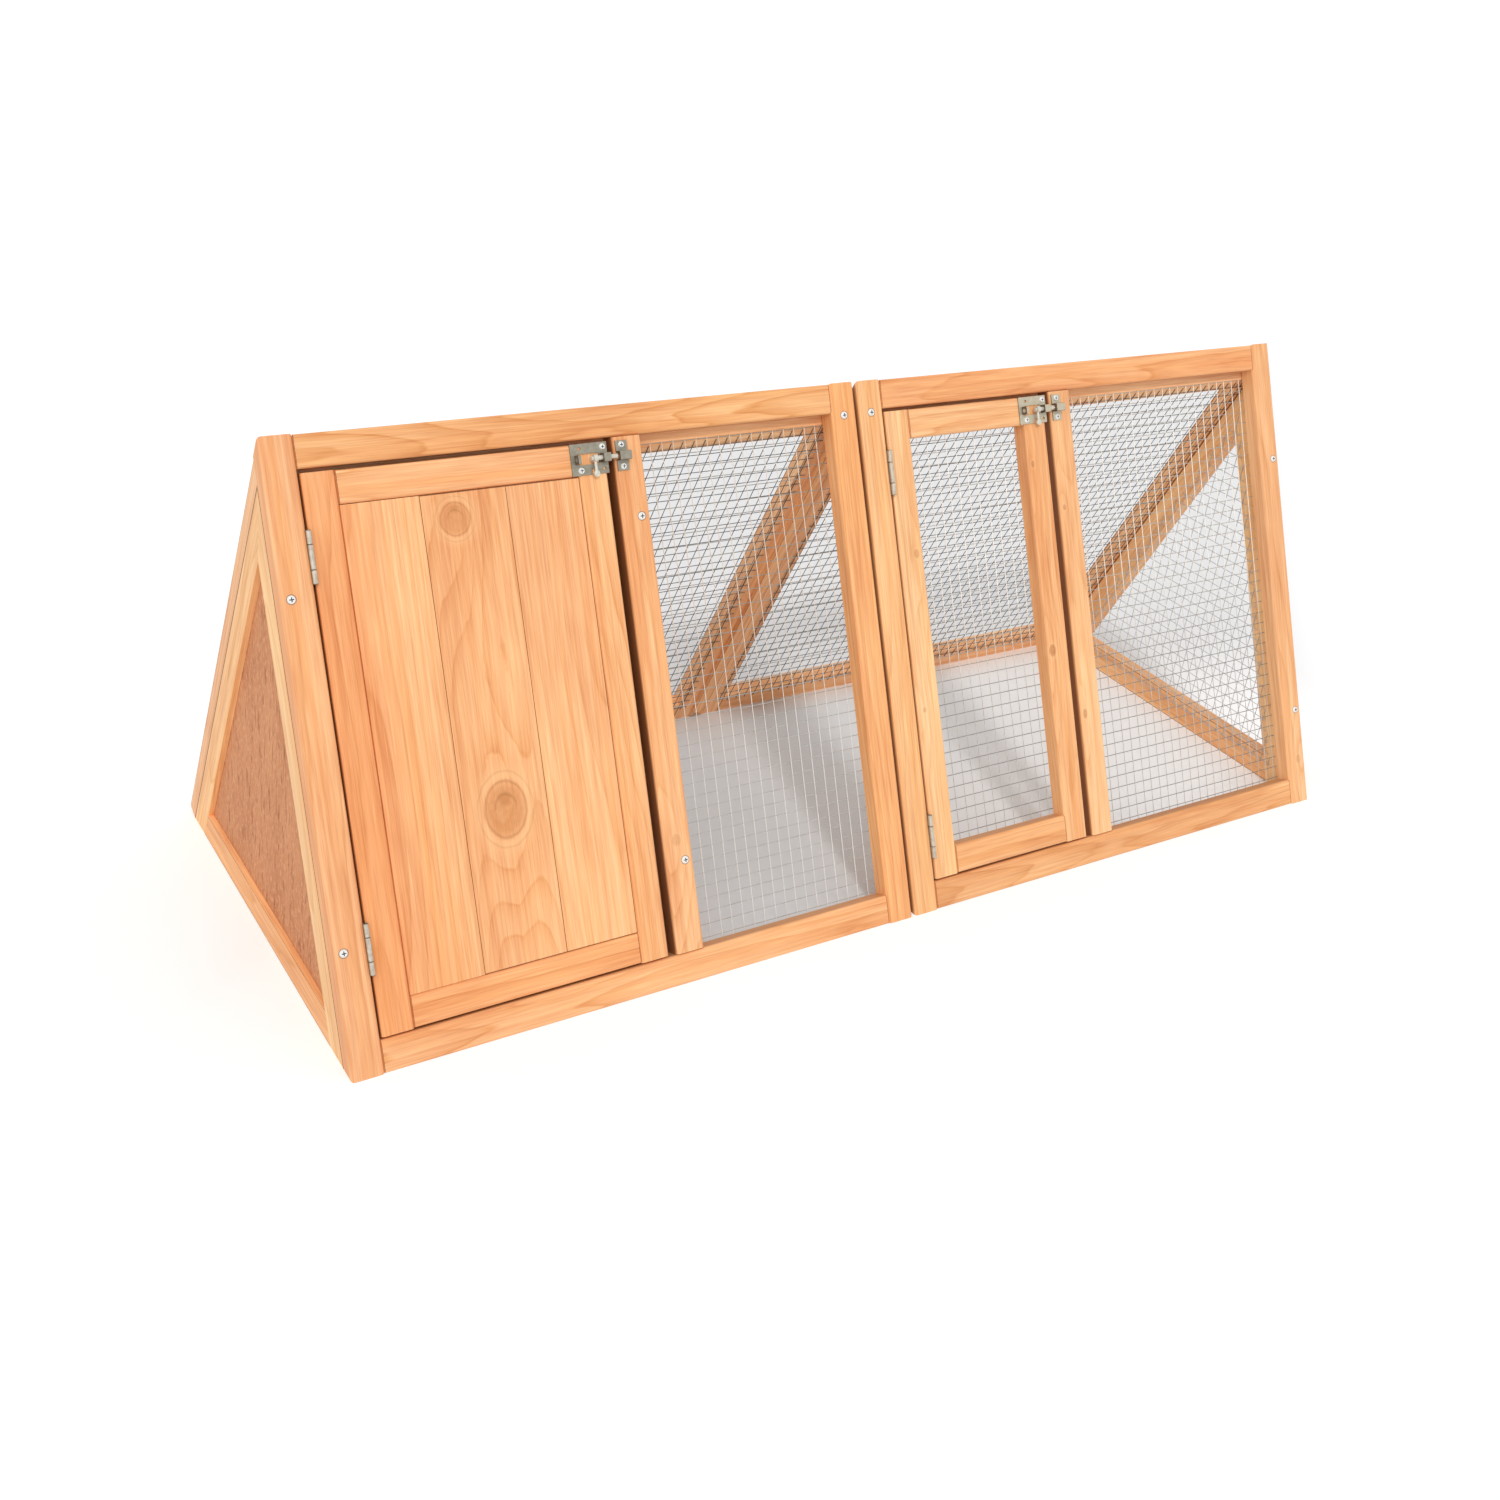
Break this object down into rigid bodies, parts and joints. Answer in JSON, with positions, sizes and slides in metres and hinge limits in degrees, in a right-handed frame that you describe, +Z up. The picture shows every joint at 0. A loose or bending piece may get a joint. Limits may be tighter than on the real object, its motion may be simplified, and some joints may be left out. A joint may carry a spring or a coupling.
{
  "type": "a-frame rabbit hutch",
  "caption": "Triangular wooden rabbit hutch with a boarded house end, a wire run, a boarded door and a mesh door on butt hinges, each held by a sliding bolt latch.",
  "frame": {"origin": "on the floor, in the middle of the hutch's length and width", "axes": "+X along the hutch, from the boarded house end to the wire end; -Y is the side with the doors; +Z up"},
  "size_m": [1.22, 0.4654, 0.5029],
  "materials": {
    "fir": "planed, untreated",
    "plywood": "sanded plywood",
    "zinc_plate": "zinc plated",
    "zinc_wire": "galvanised wire"
  },
  "bodies": {
    "frame": {"house_front_stile_left": "fir", "house_front_stile_mid": "fir", "house_front_stile_right": "fir", "house_front_rail_top": "fir", "house_front_rail_bottom": "fir", "house_front_mesh": "zinc_wire", "run_front_stile_left": "fir", "run_front_stile_mid": "fir", "run_front_stile_right": "fir", "run_front_rail_top": "fir", "run_front_rail_bottom": "fir", "run_front_mesh": "zinc_wire", "house_back_stile_left": "fir", "house_back_stile_mid": "fir", "house_back_stile_right": "fir", "house_back_rail_top": "fir", "house_back_rail_bottom": "fir", "house_back_boards": "fir", "house_back_mesh": "zinc_wire", "run_back_stile_left": "fir", "run_back_stile_right": "fir", "run_back_rail_top": "fir", "run_back_rail_bottom": "fir", "run_back_mesh": "zinc_wire", "house_end_leg_front": "fir", "house_end_leg_back": "fir", "house_end_rail": "fir", "house_end_panel": "plywood", "divider_leg_front": "fir", "divider_leg_back": "fir", "divider_panel": "plywood", "run_end_leg_front": "fir", "run_end_leg_back": "fir", "run_end_rail": "fir", "run_end_mesh": "zinc_wire", "back_joint_strip": "fir", "frame_hinge_leaves": "zinc_plate", "latch_keeps": "zinc_plate", "frame_screws": "zinc_plate"},
    "solid_door": {"solid_door_stile_left": "fir", "solid_door_stile_right": "fir", "solid_door_rail_top": "fir", "solid_door_rail_bottom": "fir", "solid_door_board_left": "fir", "solid_door_board_mid": "fir", "solid_door_board_right": "fir", "solid_door_hinge_leaves": "zinc_plate", "solid_door_latch_plate": "zinc_plate"},
    "solid_door_bolt": {"solid_door_latch_bolt": "zinc_plate"},
    "solid_door_handle": {"solid_door_latch_handle": "zinc_plate"},
    "mesh_door": {"mesh_door_stile_left": "fir", "mesh_door_stile_right": "fir", "mesh_door_rail_top": "fir", "mesh_door_rail_bottom": "fir", "mesh_door_mesh": "zinc_wire", "mesh_door_hinge_leaves": "zinc_plate", "mesh_door_latch_plate": "zinc_plate"},
    "mesh_door_bolt": {"mesh_door_latch_bolt": "zinc_plate"},
    "mesh_door_handle": {"mesh_door_latch_handle": "zinc_plate"}
  },
  "joints": [
    {"name": "solid_door_hinge", "type": "hinge", "parent": "frame", "child": "solid_door", "pos_m": [-0.579, -0.11784, 0.25206], "axis": [0, -0.4226, -0.9063], "range_deg": [0, 170]},
    {"name": "solid_door_bolt_slide", "type": "slide", "parent": "solid_door", "child": "solid_door_bolt", "axis": [1, 0, 0], "range_m": [-0.012, 0.005]},
    {"name": "solid_door_handle_turn", "type": "hinge", "parent": "solid_door_bolt", "child": "solid_door_handle", "pos_m": [-0.304, -0.02268, 0.46133], "axis": [-1, 0, 0], "range_deg": [0, 110]},
    {"name": "mesh_door_hinge", "type": "hinge", "parent": "frame", "child": "mesh_door", "pos_m": [0.033, -0.11784, 0.25206], "axis": [0, -0.4226, -0.9063], "range_deg": [0, 170]},
    {"name": "mesh_door_bolt_slide", "type": "slide", "parent": "mesh_door", "child": "mesh_door_bolt", "axis": [1, 0, 0], "range_m": [-0.012, 0.005]},
    {"name": "mesh_door_handle_turn", "type": "hinge", "parent": "mesh_door_bolt", "child": "mesh_door_handle", "pos_m": [0.235, -0.02268, 0.46133], "axis": [-1, 0, 0], "range_deg": [0, 110]}
  ]
}
